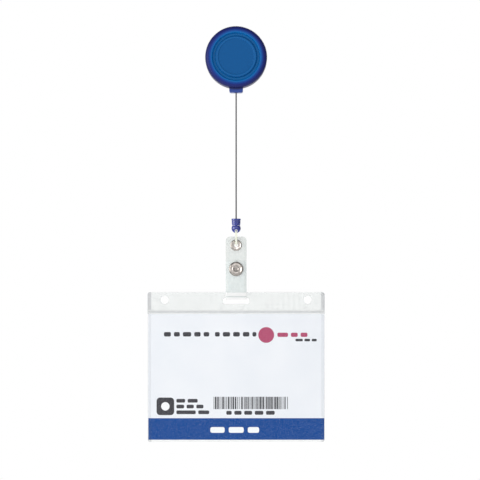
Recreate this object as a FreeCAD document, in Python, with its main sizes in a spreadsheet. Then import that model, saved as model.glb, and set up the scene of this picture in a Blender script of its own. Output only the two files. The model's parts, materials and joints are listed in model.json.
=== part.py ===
import FreeCAD, Part
import math
import os
import re
import Sketcher

# A retractable badge reel, hanging: a round case with a belt clip behind it, a spring-wound cord, a
# swivelling end fitting, a vinyl strap with a press snap, and a clear wallet with an insert card.
# Millimetres. +Z is up, the label faces -Y, and the origin is on the reel's axis at the case's back
# face. "Depth" is measured from that face towards the front, and "drop" from the axis downwards.

SIZES = {
    # case
    "case_radius": (16.0, "outside radius of both covers"),
    "case_depth": (9.0, "back face to the crest of the rim"),
    "case_wall": (1.2, "side and back walls"),
    "parting_depth": (4.0, "depth where the two covers meet, and of the cord"),
    "ceiling_depth": (6.9, "inside face of the front cover under the ring groove"),
    "core_depth": (7.6, "inside face of the front cover under the raised disc"),
    "rim_round": (2.6, "round of the front rim"),
    "back_round": (1.0, "round of the back edge"),
    "groove_outer": (12.4, "outer radius of the ring groove"),
    "groove_inner": (10.5, "radius of the raised disc"),
    "groove_deep": (1.1, "ring groove below the rim's crest"),
    "groove_slope": (0.3, "how far each side of the groove leans"),
    "groove_round": (0.4, "rounds of the groove and the disc"),
    "label_radius": (9.4, "flat label area"),
    "label_sink": (0.25, "label area below the disc's lip"),
    "lap_height": (1.0, "the rear cover's lip inside the front cover"),
    "lap_wall": (0.7, "thickness of that lip"),
    "lap_clear": (0.05, "gap between the lip and the front cover"),
    # neck
    "neck_width": (7.1, "cord outlet, side to side"),
    "neck_drop": (2.2, "cord outlet below the rim"),
    "neck_round": (1.0, "rounds of its lower corners"),
    "neck_front": (2.7, "in front of the parting face"),
    "neck_back": (2.4, "behind the parting face"),
    "passage_radius": (0.6, "hole that the cord runs in"),
    "mouth_radius": (1.3, "widened ends of that hole"),
    "mouth_deep": (0.9, "depth of the widened ends"),
    "funnel_lap": (0.2, "the inner end starts inside the rear cover's lip"),
    # post and spool
    "post_radius": (2.0, "lower part of the rear cover's post"),
    "journal_radius": (1.4, "upper part, which the spool turns on"),
    "post_bore": (0.9, "bore through the post"),
    "shoulder_depth": (5.05, "top of the lower part of the post"),
    "post_end": (6.8, "top of the post"),
    "pin_clear": (0.05, "locating pin in the post's bore"),
    "pin_end": (5.4, "tip of the locating pin"),
    "bearing_clear": (0.05, "spool on its journal"),
    "spool_clear": (0.5, "spool to the back wall, and to the lip all round"),
    "spool_front": (6.4, "front face of the spool"),
    "flange_thick": (0.7, "both flanges of the spool"),
    "barrel_radius": (9.0, "drum that the cord is wound on"),
    "barrel_wall": (0.8, "wall of that drum"),
    "boss_radius": (2.7, "boss round the spool's bearing"),
    # power spring
    "spring_thick": (0.15, "strip"),
    "spring_height": (3.0, "strip, along the axis"),
    "spring_pitch": (0.78, "from turn to turn"),
    "spring_turns": (7.0, "whole turns at rest"),
    "spring_start": (2.35, "radius where the strip leaves the post"),
    "slot_gap": (0.1, "slot in the post, each side of the strip"),
    # cord
    "cord_dia": (0.75, "braided cord"),
    "cord_length": (860.0, "whole cord"),
    "cord_out": (65.2, "cord outside the case at rest"),
    "cord_pack": (0.8, "share of the winding that is cord"),
    "knot_radius": (0.95, "knot in the end cap"),
    "anchor_radius": (0.55, "knot on the spool"),
    "anchor_high": (0.44, "half of its height"),
    "knot_clear": (0.03, "knots to the walls beside them"),
    # belt clip
    "clip_width": (10.0, "spring-steel strip"),
    "clip_thick": (0.8, "spring-steel strip"),
    "clip_gap": (3.0, "between its legs at the bend"),
    "clip_top": (11.5, "inside of the bend above the axis"),
    "clip_foot": (10.0, "end of the riveted leg below the axis"),
    "clip_reach": (13.0, "end of the sprung leg below the axis"),
    "clip_pinch": (0.45, "gap at the sprung leg's nearest point"),
    "clip_flare": (1.25, "how far its end turns out"),
    "clip_toe": (2.5, "height of that turned-out end"),
    "clip_split": (0.12, "gap between the two legs' halves of the bend"),
    "rivet_head": (2.6, "radius of the rivet's head"),
    "rivet_thick": (0.8, "height of the rivet's head"),
    "rivet_dome": (0.56, "round of the rivet's head"),
    "rivet_end": (4.3, "tip of the rivet inside the post"),
    # end cap and swivel
    "cap_height": (3.55, "end cap, top to bottom"),
    "cap_flange": (2.45, "radius of its top flange"),
    "cap_flange_high": (1.0, "height of that flange"),
    "cap_collar": (2.3, "radius of its collar"),
    "cap_collar_high": (1.2, "height of the collar"),
    "cap_groove": (0.12, "groove between flange and collar"),
    "cap_foot": (2.1, "radius of its lower end"),
    "cap_cavity": (1.5, "radius of its cavity"),
    "cap_floor": (0.6, "wall under the cavity"),
    "cap_roof": (0.65, "wall over the cavity"),
    "stem_radius": (0.6, "stem of the swivel"),
    "stem_clear": (0.06, "stem in the cap's floor"),
    "head_radius": (1.1, "head of the stem"),
    "head_high": (0.45, "head of the stem"),
    "ball_radius": (2.45, "ball of the swivel"),
    "ball_flat": (1.42, "flat top of the ball above its centre"),
    "ball_gap": (0.08, "gap between cap and ball"),
    "eye_radius": (0.75, "hole through the ball's lower end"),
    "eye_web": (0.35, "wall under that hole"),
    "lug_thick": (1.6, "ball between its two flats"),
    # link
    "link_width": (1.1, "plastic loop, side to side"),
    "link_thick": (0.6, "plastic loop, in its own plane"),
    "link_bend": (1.65, "middle of the loop's strip to its middle line"),
    "link_length": (7.4, "middle of the ball's eye to the middle of the eyelet"),
    "link_play": (0.1, "loop above the eye's middle and the eyelet's"),
    "link_ease": (0.1, "short of a full half round at the loop's ends"),
    # strap
    "strap_width": (10.8, "vinyl strap"),
    "strap_thick": (0.6, "vinyl strap"),
    "strap_round": (2.2, "corners of its ends"),
    "strap_head": (4.5, "strap above the eyelet's middle"),
    "snap_step": (12.3, "eyelet to snap"),
    "fold_step": (14.2, "snap to the middle of the fold"),
    "strap_tail": (4.7, "back leg above the snap"),
    "leg_gap": (2.2, "between the two legs"),
    "fold_split": (0.05, "gap beside the rounded end of the back leg"),
    # eyelet
    "eyelet_hole": (1.0, "hole through the eyelet"),
    "eyelet_barrel": (1.45, "barrel through the strap"),
    "eyelet_rim": (2.95, "front flange"),
    "eyelet_high": (0.55, "front flange over the strap"),
    "washer_thick": (0.35, "back washer"),
    "clinch": (0.2, "rolled end of the barrel"),
    "eyelet_lip": (0.45, "width of the flange's rolled lip, and of the rolled end"),
    "eyelet_cup": (0.95, "from the flange's edge to the foot of its cup"),
    # snap
    "snap_radius": (3.7, "cap"),
    "snap_high": (0.8, "cap over the strap"),
    "snap_lip": (0.7, "from the cap's edge to its rolled crest"),
    "snap_dish": (1.5, "from its edge to the dish inside that crest"),
    "snap_ring": (1.9, "from its edge to the raised inner ring"),
    "snap_ring_wide": (0.5, "flat top of that ring"),
    "shank_flare": (0.3, "how far the cap's shank is spread behind the socket"),
    "press_round": (0.2, "small rounds of the pressed parts"),
    "shank_radius": (0.8, "shanks through the strap"),
    "socket_radius": (3.1, "socket"),
    "socket_room": (0.6, "socket's mouth to the back leg"),
    "socket_base": (0.4, "socket's base"),
    "socket_bore": (1.9, "socket's cavity"),
    "stud_radius": (1.5, "head of the stud"),
    "stud_neck": (1.35, "neck of the stud"),
    "stud_base": (2.9, "base of the stud"),
    "stud_base_high": (0.5, "base of the stud"),
    "stud_neck_high": (0.45, "neck of the stud"),
    "stud_shoulder": (0.15, "slope above that neck"),
    "stud_room": (0.15, "tip of the stud to the cap's spread shank"),
    "stud_skin": (0.3, "metal over the stud's tip"),
    "ring_wire": (0.15, "radius of the socket's spring wire"),
    "post_head": (3.2, "back post's head"),
    "post_high": (0.5, "back post's head"),
    # wallet and card
    "wallet_width": (92.0, "wallet"),
    "wallet_height": (77.8, "wallet"),
    "wallet_round": (1.3, "corners of the wallet"),
    "sheet_thick": (0.4, "each vinyl sheet"),
    "pocket_gap": (0.7, "room between the sheets"),
    "fold_wall": (0.3, "closed left side"),
    "seal_high": (0.5, "weld along the bottom"),
    "joggle": (0.5, "height of the step beside each weld"),
    "flap_high": (10.1, "welded top flap"),
    "slot_width": (13.6, "badge slot"),
    "slot_height": (3.0, "badge slot"),
    "slot_round": (1.0, "badge slot's corners"),
    "slot_margin": (2.1, "flap above the fold's middle line"),
    "bridge_seat": (1.0, "slot's upper edge below that line"),
    "hole_radius": (2.0, "the two round holes"),
    "hole_inset": (8.9, "round holes from the sides"),
    "hole_drop": (4.0, "round holes from the top edge"),
    "card_height": (65.3, "insert card"),
    "card_thick": (0.5, "insert card"),
    "card_foot": (1.2, "card above the wallet's bottom edge"),
    "card_clear": (0.1, "card to the closed side"),
    "card_inset": (0.2, "card inside the open side"),
}

doc = FreeCAD.newDocument("badge_reel")
sheet = doc.addObject("Spreadsheet::Sheet", "sizes")
sheet.Label = "sizes"
for row, (name, (value, note)) in enumerate(SIZES.items(), start=1):
    sheet.set(f"A{row}", name)
    sheet.set(f"B{row}", str(value))
    sheet.setAlias(f"B{row}", name)
    sheet.set(f"C{row}", note)
doc.recompute()

WORD = re.compile(r"[a-z][a-z_]*[a-z]")
FACING = FreeCAD.Rotation(FreeCAD.Vector(1, 0, 0), 90)  # own +Z to -Y, the front
UPRIGHT = FreeCAD.Rotation()
ALONG_X = FreeCAD.Rotation(FreeCAD.Vector(0, 1, 0), 90)  # own +Z to +X

# Places that several pieces share, as expressions of the sizes.
INNER = "(case_radius - case_wall)"
LIP_OUTER = f"({INNER} - lap_clear)"
LIP_INNER = f"({LIP_OUTER} - lap_wall)"
FLANGE = f"({LIP_INNER} - spool_clear)"
SPOOL_BACK = "(case_wall + spool_clear)"
WIND_LOW = f"({SPOOL_BACK} + flange_thick)"
WIND_HIGH = "(spool_front - flange_thick)"
WOUND = "((cord_length - cord_out) * cord_dia * cord_dia / 4)"
WIND_RADIUS = f"sqrt(barrel_radius ^ 2 + {WOUND} / (({WIND_HIGH} - {WIND_LOW}) * cord_pack))"
NECK_END = "(case_radius + neck_drop)"
CAP_TOP = f"({NECK_END} + cord_out)"
CAP_END = f"({CAP_TOP} + cap_height)"
BALL_DROP = f"({CAP_END} + ball_gap + ball_flat)"
EYE_DROP = f"({BALL_DROP} + ball_radius - eye_web - eye_radius)"
EYELET_DROP = f"({EYE_DROP} + link_length)"
SNAP_DROP = f"({EYELET_DROP} + snap_step)"
FOLD_DROP = f"({SNAP_DROP} + fold_step)"
STRAP_FACE = "(parting_depth + strap_thick / 2)"
LEG_BACK = f"({STRAP_FACE} - strap_thick - leg_gap)"
WALLET_DEPTH = f"({STRAP_FACE} - strap_thick - leg_gap / 2)"
WALLET_TOP = f"({FOLD_DROP} - slot_margin)"
WALLET_END = f"({WALLET_TOP} + wallet_height)"
HALF_FOLD = "(leg_gap / 2 + strap_thick)"
FOLD_ROUND = "(leg_gap / 2 - strap_thick / 2 - 2 * fold_split)"
SOCKET_HIGH = "(leg_gap - socket_room)"
ANCHOR_HIGH = "(barrel_radius + cord_dia / 2 + 2 * bearing_clear)"
CLIP_MIDDLE = "(clip_thick + clip_gap / 2)"
CLIP_BEND = "(clip_gap / 2 - 3 * clip_split)"
WALLET_HALF = "(wallet_width / 2)"


def bound(text):
    """The expression as FreeCAD reads it, with each name looked up in the sheet."""
    return WORD.sub(lambda found: f"sizes.{found[0]}" if found[0] in SIZES else found[0], text)


def number(text):
    """The expression's value now."""
    plain = WORD.sub(lambda found: str(SIZES[found[0]][0]) if found[0] in SIZES else found[0], text)
    return FreeCAD.Units.Quantity(plain).Value


def bind(thing, **properties):
    for name, text in properties.items():
        thing.setExpression(name, bound(text))
    return thing


def place(thing, x="0", y="0", z="0", turn=UPRIGHT):
    """Give a piece its Placement: x to the right, y to the back, z up."""
    thing.Placement = FreeCAD.Placement(FreeCAD.Vector(number(x), number(y), number(z)), turn)
    for axis, text in (("x", x), ("y", y), ("z", z)):
        if text != "0":
            thing.setExpression(f"Placement.Base.{axis}", bound(text))
    return thing


def primitive(kind, name, at=("0", "0", "0"), turn=UPRIGHT, **properties):
    return place(bind(doc.addObject(f"Part::{kind}", name), **properties), *at, turn=turn)


def cut(name, base, *tools):
    """base without each of the tools."""
    for count, tool in enumerate(tools, start=1):
        left = doc.addObject("Part::Cut", name if count == len(tools) else f"{name}_step{count}")
        left.Base = base
        left.Tool = tool
        base = left
    return base


def fused(name, *parts):
    whole = doc.addObject("Part::MultiFuse", name)
    whole.Shapes = list(parts)
    return whole


def pin_point(sketch, shape, end, x, y):
    """Tie a point of a sketch to two expressions, measured from the sketch's origin."""
    for axis, text, zero_line in (("X", x, -2), ("Y", y, -1)):
        value = number(text)
        if abs(value) < 1e-9:
            sketch.addConstraint(Sketcher.Constraint("PointOnObject", shape, end, zero_line))
        elif value > 0:
            made = sketch.addConstraint(
                Sketcher.Constraint(f"Distance{axis}", -1, 1, shape, end, value)
            )
            sketch.setExpression(f"Constraints[{made}]", bound(text))
        else:
            made = sketch.addConstraint(
                Sketcher.Constraint(f"Distance{axis}", shape, end, -1, 1, -value)
            )
            sketch.setExpression(f"Constraints[{made}]", f"-({bound(text)})")


def rounded_corner(before, corner, after, radius):
    """Where a round of this radius leaves both sides of a corner, its middle, and its turn."""
    into, out = corner - before, after - corner
    into.normalize()
    out.normalize()
    turn = math.atan2(into.x * out.y - into.y * out.x, into.dot(out))
    reach = radius * math.tan(abs(turn) / 2)
    start, end = corner - into * reach, corner + out * reach
    side = FreeCAD.Vector(-into.y, into.x, 0) * math.copysign(radius, turn)
    return start, end, start + side, turn


def outline(sketch, corners):
    """Draw a closed outline. A corner is (x, y) or (x, y, radius), all of them expressions."""
    spots = [FreeCAD.Vector(number(c[0]), number(c[1]), 0) for c in corners]
    rounds = [number(c[2]) if len(c) > 2 else 0 for c in corners]
    leave, arrive, arcs = list(spots), list(spots), {}
    for i, radius in enumerate(rounds):
        if radius:
            after = spots[(i + 1) % len(spots)]
            arrive[i], leave[i], middle, turn = rounded_corner(spots[i - 1], spots[i], after, radius)
            arcs[i] = (middle, radius, turn)
    lines = [
        sketch.addGeometry(Part.LineSegment(leave[i], arrive[(i + 1) % len(spots)]))
        for i in range(len(spots))
    ]
    for i, corner in enumerate(corners):
        before, after = lines[i - 1], lines[i]
        if i not in arcs:
            sketch.addConstraint(Sketcher.Constraint("Coincident", before, 2, after, 1))
            pin_point(sketch, after, 1, corner[0], corner[1])
            continue
        middle, radius, turn = arcs[i]
        ends = [leave[i], arrive[i]] if turn < 0 else [arrive[i], leave[i]]
        first, last = (math.atan2(p.y - middle.y, p.x - middle.x) for p in ends)
        circle = Part.Circle(middle, FreeCAD.Vector(0, 0, 1), radius)
        arc = sketch.addGeometry(Part.ArcOfCircle(circle, first, last))
        near, far = (2, 1) if turn < 0 else (1, 2)
        tip = sketch.addGeometry(Part.Point(spots[i]), True)
        sketch.addConstraint(Sketcher.Constraint("Tangent", before, 2, arc, near))
        sketch.addConstraint(Sketcher.Constraint("Tangent", arc, far, after, 1))
        sketch.addConstraint(Sketcher.Constraint("PointOnObject", tip, 1, before))
        sketch.addConstraint(Sketcher.Constraint("PointOnObject", tip, 1, after))
        made = sketch.addConstraint(Sketcher.Constraint("Radius", arc, radius))
        sketch.setExpression(f"Constraints[{made}]", bound(corner[2]))
        pin_point(sketch, tip, 1, corner[0], corner[1])


def circle_in(sketch, x, y, radius):
    middle = FreeCAD.Vector(number(x), number(y), 0)
    made = sketch.addGeometry(Part.Circle(middle, FreeCAD.Vector(0, 0, 1), number(radius)))
    pin_point(sketch, made, 3, x, y)
    size = sketch.addConstraint(Sketcher.Constraint("Radius", made, number(radius)))
    sketch.setExpression(f"Constraints[{size}]", bound(radius))


def sketch_in(body, name, plane, offset="0"):
    """A sketch on one of the body's own origin planes, moved along the plane's normal."""
    sketch = body.newObject("Sketcher::SketchObject", name)
    support = [p for p in body.Origin.OriginFeatures if p.Role == plane]
    sketch.AttachmentSupport = [(support[0], "")]
    sketch.MapMode = "FlatFace"
    if offset != "0":
        sketch.AttachmentOffset = FreeCAD.Placement(
            FreeCAD.Vector(0, 0, number(offset)), FreeCAD.Rotation()
        )
        sketch.setExpression("AttachmentOffset.Base.z", bound(offset))
    return sketch


def turned(name, corners):
    """A body turned about its own Z axis from an outline of (radius, height) corners."""
    body = doc.addObject("PartDesign::Body", name)
    sketch = sketch_in(body, f"{name}_profile", "XZ_Plane")
    outline(sketch, corners)
    feature = body.newObject("PartDesign::Revolution", f"{name}_turn")
    feature.Profile = sketch
    feature.ReferenceAxis = (sketch, ["V_Axis"])
    feature.Angle = 360
    sketch.Visibility = False
    return body


def padded(body, name, plane, corners, length, offset="0", openings=(), circles=()):
    """Pad an outline in a body, with openings of the same kind and round holes."""
    sketch = sketch_in(body, f"{name}_profile", plane, offset)
    for corner_list in (corners, *openings):
        outline(sketch, corner_list)
    for x, y, radius in circles:
        circle_in(sketch, x, y, radius)
    feature = body.newObject("PartDesign::Pad", f"{name}_pad")
    feature.Profile = sketch
    bind(feature, Length=length)
    sketch.Visibility = False
    return body


def plate(name, plane, corners, length, **more):
    return padded(doc.addObject("PartDesign::Body", name), name, plane, corners, length, **more)


def rectangle(left, low, right, high, radius=None):
    """The corners of an upright rectangle, all four of them rounded if a radius is given."""
    corners = [(left, low), (right, low), (right, high), (left, high)]
    return [(*c, radius) for c in corners] if radius else corners


# ---------------------------------------------------------------- case


def cord_passage():
    """The hole through the neck, widened where the cord enters and leaves it."""
    bore_high = f"({NECK_END} - {LIP_INNER})"
    centre = ("0", "-parting_depth")
    mouth = {"Radius1": "mouth_radius", "Radius2": "passage_radius", "Height": "mouth_deep"}
    funnel = f"({LIP_INNER} - funnel_lap)"
    return fused(
        "cord_passage",
        primitive("Cylinder", "passage_bore", (*centre, f"-{NECK_END}"), Radius="passage_radius",
                  Height=bore_high),
        primitive("Cone", "passage_mouth", (*centre, f"-{NECK_END}"), **mouth),
        primitive("Cone", "passage_funnel", (*centre, f"-{funnel} - 2 * mouth_deep"),
                  Radius1="passage_radius", Radius2="2 * mouth_radius", Height="2 * mouth_deep"),
    )


def neck(body, name, low, thick):
    """Half of the cord outlet, grown out of a cover's side wall."""
    top = "-(case_radius - case_wall / 2)"
    side = "neck_width / 2"
    corners = [
        (f"-({side})", top),
        (f"-({side})", f"-{NECK_END}", "neck_round"),
        (side, f"-{NECK_END}", "neck_round"),
        (side, top),
    ]
    padded(body, name, "XY_Plane", corners, thick, offset=low)


def front_cover(passage):
    floor = "(case_depth - groove_deep)"
    pin = "(post_bore - pin_clear)"
    core = "(groove_inner - groove_round)"
    shell = turned("front_shell", [
        (INNER, "parting_depth"),
        ("case_radius", "parting_depth"),
        ("case_radius", "case_depth", "rim_round"),
        ("groove_outer", "case_depth", "groove_round"),
        ("groove_outer - groove_slope", floor, "groove_round"),
        ("groove_inner + groove_slope", floor, "groove_round"),
        ("groove_inner", "case_depth", "groove_round"),
        ("label_radius", "case_depth"),
        ("label_radius - label_sink", "case_depth - label_sink"),
        ("0", "case_depth - label_sink"),
        ("0", "pin_end"),
        (pin, "pin_end"),
        (pin, "core_depth"),
        (core, "core_depth"),
        (core, "ceiling_depth"),
        (INNER, "ceiling_depth"),
    ])
    neck(shell, "front_neck", "parting_depth", "neck_front")
    place(shell, turn=FACING)
    return cut("front_cover", shell, passage)


def rear_cover(passage):
    shell = turned("rear_shell", [
        ("post_bore", "0"),
        ("case_radius", "0", "back_round"),
        ("case_radius", "parting_depth"),
        (LIP_OUTER, "parting_depth"),
        (LIP_OUTER, "parting_depth + lap_height"),
        (LIP_INNER, "parting_depth + lap_height"),
        (LIP_INNER, "case_wall"),
        ("post_radius", "case_wall"),
        ("post_radius", "shoulder_depth"),
        ("journal_radius", "shoulder_depth"),
        ("journal_radius", "post_end"),
        ("post_bore", "post_end"),
    ])
    neck(shell, "rear_neck", "parting_depth - neck_back", "neck_back")
    place(shell, turn=FACING)
    slot = "(spring_thick / 2 + slot_gap)"
    post_slot = primitive("Box", "post_slot", ("0", "-shoulder_depth", f"-{slot}"),
                          Length="2 * post_radius", Width="shoulder_depth - case_wall",
                          Height=f"2 * {slot}")
    return cut("rear_cover", shell, passage, post_slot)


def spool():
    """Drum with two flanges. It is open at the back for the power spring."""
    cavity = "(barrel_radius - barrel_wall)"
    bore = "(journal_radius + bearing_clear)"
    drum = turned("drum", [
        (cavity, SPOOL_BACK),
        (FLANGE, SPOOL_BACK),
        (FLANGE, WIND_LOW),
        ("barrel_radius", WIND_LOW),
        ("barrel_radius", WIND_HIGH),
        (FLANGE, WIND_HIGH),
        (FLANGE, "spool_front"),
        (bore, "spool_front"),
        (bore, "shoulder_depth + 2 * bearing_clear"),
        ("boss_radius", "shoulder_depth + 2 * bearing_clear"),
        ("boss_radius", WIND_HIGH),
        (cavity, WIND_HIGH),
    ])
    place(drum, turn=FACING)
    hole = primitive("Cylinder", "anchor_hole", ("0", f"-{WIND_HIGH}", ANCHOR_HIGH), turn=FACING,
                     Radius="cord_dia / 2 + bearing_clear", Height="flange_thick")
    return cut("spool", drum, hole)


def power_spring():
    """Spiral strip of half circles about two middles, its inner end bent into the post's slot."""
    thick, pitch, start = (number(n) for n in ("spring_thick", "spring_pitch", "spring_start"))
    high, turns = number("spring_height"), int(number("spring_turns"))
    low = number(SPOOL_BACK)
    shift = pitch / 4

    def edge(offset):
        """One side of the strip, from the inner end outwards."""
        arcs = []
        for half in range(2 * turns):
            side = 1 if half % 2 == 0 else -1
            middle = FreeCAD.Vector(side * -shift, 0, low)
            radius = start + shift + half * pitch / 2 + offset
            spots = [
                middle + FreeCAD.Vector(side * radius * math.cos(a), side * radius * math.sin(a), 0)
                for a in (0, math.pi / 2, math.pi)
            ]
            arcs.append(Part.Arc(*spots).toShape())
        return arcs

    outer, inner = edge(thick / 2), edge(-thick / 2)
    ends = [
        Part.makeLine(outer[0].Vertexes[0].Point, inner[0].Vertexes[0].Point),
        Part.makeLine(outer[-1].Vertexes[-1].Point, inner[-1].Vertexes[-1].Point),
    ]
    strip = Part.Face(Part.Wire(Part.__sortEdges__(outer + inner + ends)))
    tab_from = number("post_bore") + number("slot_gap")
    tab = Part.makeBox(start - tab_from, thick, high, FreeCAD.Vector(tab_from, -thick / 2, low))
    spring = doc.addObject("Part::Feature", "power_spring")
    spring.Shape = strip.extrude(FreeCAD.Vector(0, 0, high)).fuse(tab).removeSplitter()
    return place(spring, turn=FACING)


# ---------------------------------------------------------------- cord


def cord_winding():
    low = f"({WIND_LOW} + bearing_clear)"
    high = f"({WIND_HIGH} - bearing_clear)"
    ring = turned("cord_winding", [
        ("barrel_radius + bearing_clear", low),
        (WIND_RADIUS, low, "cord_dia / 2"),
        (WIND_RADIUS, high, "cord_dia / 2"),
        ("barrel_radius + bearing_clear", high),
    ])
    return place(ring, turn=FACING)


def cord_lead_in():
    """The cord from the winding, where it leaves at a tangent, to the neck's lower end."""
    radius = number("cord_dia") / 2
    wrap = number(WIND_RADIUS) + radius + number("lap_clear")
    corner_drop = number(INNER)
    bend = 3 * number("cord_dia")
    turn = math.acos(wrap / corner_drop)
    leave = FreeCAD.Vector(wrap * math.sin(turn), 0, -wrap * math.cos(turn))
    corner = FreeCAD.Vector(0, 0, -corner_drop)
    end = FreeCAD.Vector(0, 0, -number(NECK_END))
    along = (corner - leave).normalize()
    angle = math.acos(along.dot(FreeCAD.Vector(0, 0, -1)))
    reach = bend * math.tan(angle / 2)
    arc_start, arc_end = corner - along * reach, corner - FreeCAD.Vector(0, 0, reach)
    middle = arc_end + FreeCAD.Vector(bend, 0, 0)
    halfway = middle + (corner - middle).normalize() * bend
    path = Part.Wire([
        Part.LineSegment(leave, arc_start).toShape(),
        Part.Arc(arc_start, halfway, arc_end).toShape(),
        Part.LineSegment(arc_end, end).toShape(),
    ])
    section = Part.Wire(Part.Circle(leave, along, radius).toShape())
    tube = path.makePipeShell([section], True, True)
    expected = math.pi * radius**2 * path.Length
    print(f"cord_lead_in: bend radius {bend:.2f}, length {path.Length:.2f}, "
          f"volume {tube.Volume:.3f} for {expected:.3f}")
    lead = doc.addObject("Part::Feature", "cord_lead_in")
    lead.Shape = tube
    return place(lead, y="-parting_depth")


def cord_free():
    print(f"cord_free: straight, length {number('cord_out'):.2f}")
    return primitive("Cylinder", "cord_free", ("0", "-parting_depth", f"-{CAP_TOP}"),
                     Radius="cord_dia / 2", Height="cord_out")


def cord_anchor_knot():
    """The knot that stops the cord's inner end, in front of the spool's front flange."""
    return primitive("Ellipsoid", "cord_anchor_knot",
                     ("0", "-(spool_front + anchor_high + knot_clear)", ANCHOR_HIGH), turn=FACING,
                     Radius1="anchor_high", Radius2="anchor_radius", Radius3="anchor_radius")


def cord_end_knot():
    return primitive("Ellipsoid", "cord_end_knot",
                     ("0", "-parting_depth", f"-({CAP_TOP} + cap_roof + knot_radius / 2 + knot_clear)"),
                     Radius1="knot_radius / 2", Radius2="knot_radius", Radius3="knot_radius")


# ---------------------------------------------------------------- belt clip


def belt_clip_base():
    """The leg riveted to the case, with its half of the bend."""
    split = f"({CLIP_MIDDLE} - clip_split / 2)"
    leg = plate("clip_base_strip", "YZ_Plane", [
        ("0", "-clip_foot"),
        ("clip_thick", "-clip_foot"),
        ("clip_thick", "clip_top", CLIP_BEND),
        (split, "clip_top"),
        (split, "clip_top + clip_thick"),
        ("0", "clip_top + clip_thick", f"({CLIP_BEND} + clip_thick)"),
    ], "clip_width")
    place(leg, "-clip_width / 2")
    hole = primitive("Cylinder", "clip_hole", ("0", "clip_thick", "0"), turn=FACING,
                     Radius="post_bore + pin_clear", Height="clip_thick")
    return cut("belt_clip_base", leg, hole)


def belt_clip_tongue():
    """The sprung leg. It leans towards the other leg and turns out at its end."""
    split = f"({CLIP_MIDDLE} + clip_split / 2)"
    far = "(clip_thick + clip_gap)"
    near = "(clip_thick + clip_pinch)"
    pinch_low = "-(clip_reach - clip_toe)"
    leg = plate("belt_clip_tongue", "YZ_Plane", [
        (split, "clip_top"),
        (far, "clip_top", CLIP_BEND),
        (near, pinch_low, "clip_thick"),
        (f"{near} + clip_flare", "-clip_reach"),
        (f"{near} + clip_flare + clip_thick", "-clip_reach"),
        (f"{near} + clip_thick", pinch_low, "2 * clip_thick"),
        (f"{far} + clip_thick", "clip_top + clip_thick", f"({CLIP_BEND} + clip_thick)"),
        (split, "clip_top + clip_thick"),
    ], "clip_width")
    return place(leg, "-clip_width / 2")


def clip_rivet():
    rivet = turned("clip_rivet", [
        ("0", "0"),
        ("rivet_head", "0", "rivet_dome"),
        ("rivet_head", "rivet_thick"),
        ("post_bore", "rivet_thick"),
        ("post_bore", "rivet_thick + clip_thick + rivet_end"),
        ("0", "rivet_thick + clip_thick + rivet_end"),
    ])
    return place(rivet, y="clip_thick + rivet_thick", turn=FACING)


# ---------------------------------------------------------------- end fitting and link


def cord_end_cap():
    waist = "(cap_collar - cap_groove)"
    collar_top = "(cap_height - cap_flange_high - cap_groove)"
    collar_low = f"({collar_top} - cap_collar_high)"
    floor_hole = "(stem_radius + stem_clear)"
    roof_hole = "(cord_dia / 2 + stem_clear)"
    cap = turned("cord_end_cap", [
        (floor_hole, "0"),
        ("cap_foot", "0"),
        ("cap_collar", collar_low),
        ("cap_collar", collar_top),
        (waist, collar_top),
        (waist, "cap_height - cap_flange_high"),
        ("cap_flange", "cap_height - cap_flange_high", "cap_groove"),
        ("cap_flange", "cap_height", "2 * cap_groove"),
        (roof_hole, "cap_height"),
        (roof_hole, "cap_height - cap_roof"),
        ("cap_cavity", "cap_height - cap_roof"),
        ("cap_cavity", "cap_floor"),
        (floor_hole, "cap_floor"),
    ])
    return place(cap, y="-parting_depth", z=f"-{CAP_END}")


def swivel_eye():
    """Ball with a headed stem that turns in the cap, two flats and a hole for the loop."""
    at = ("0", "-parting_depth")
    stem_low = f"-({CAP_END} + ball_gap)"
    head_low = f"-({CAP_END} - cap_floor - stem_clear)"
    ball = primitive("Sphere", "eye_ball", (*at, f"-{BALL_DROP}"), Radius="ball_radius")
    above = primitive("Box", "above_ball", ("-ball_radius", "-parting_depth - ball_radius", stem_low),
                      Length="2 * ball_radius", Width="2 * ball_radius", Height="ball_radius")
    solid = fused(
        "eye_with_stem",
        cut("eye_ball_flat", ball, above),
        primitive("Cylinder", "eye_stem", (*at, f"{stem_low} - ball_gap"), Radius="stem_radius",
                  Height="2 * ball_gap + cap_floor + 2 * stem_clear"),
        primitive("Cylinder", "eye_head", (*at, head_low), Radius="head_radius",
                  Height="head_high"),
    )
    flat_top = f"-({EYE_DROP} - eye_radius - stem_clear)"
    flat_size = {"Length": "2 * ball_radius", "Width": "ball_radius", "Height": "2 * ball_radius"}
    flats = [
        primitive("Box", f"eye_flat_{side}", ("-ball_radius", y, f"{flat_top} - 2 * ball_radius"),
                  **flat_size)
        for side, y in (
            ("front", "-parting_depth - lug_thick / 2 - ball_radius"),
            ("back", "-parting_depth + lug_thick / 2"),
        )
    ]
    hole = primitive("Cylinder", "eye_hole", ("0", "-parting_depth + ball_radius", f"-{EYE_DROP}"),
                     turn=FACING, Radius="eye_radius", Height="2 * ball_radius")
    return cut("swivel_eye", solid, *flats, hole)


def link_loop():
    """Plastic loop through the ball's eye and the strap's eyelet, in the plane x = 0."""
    outer = "(link_bend + link_thick / 2)"
    inner = "(link_bend - link_thick / 2)"
    top = f"-({EYE_DROP} - link_play - link_thick / 2)"
    low = f"-({EYELET_DROP} - link_play + link_thick / 2)"
    loop = plate(
        "link_loop", "YZ_Plane",
        rectangle(f"-{outer}", low, outer, top, f"{outer} - link_ease"),
        "link_width",
        openings=[rectangle(f"-{inner}", f"{low} + link_thick", inner, f"{top} - link_thick",
                            f"{inner} - link_ease")],
    )
    return place(loop, "-link_width / 2", "-parting_depth")


# ---------------------------------------------------------------- strap and fasteners


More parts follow.
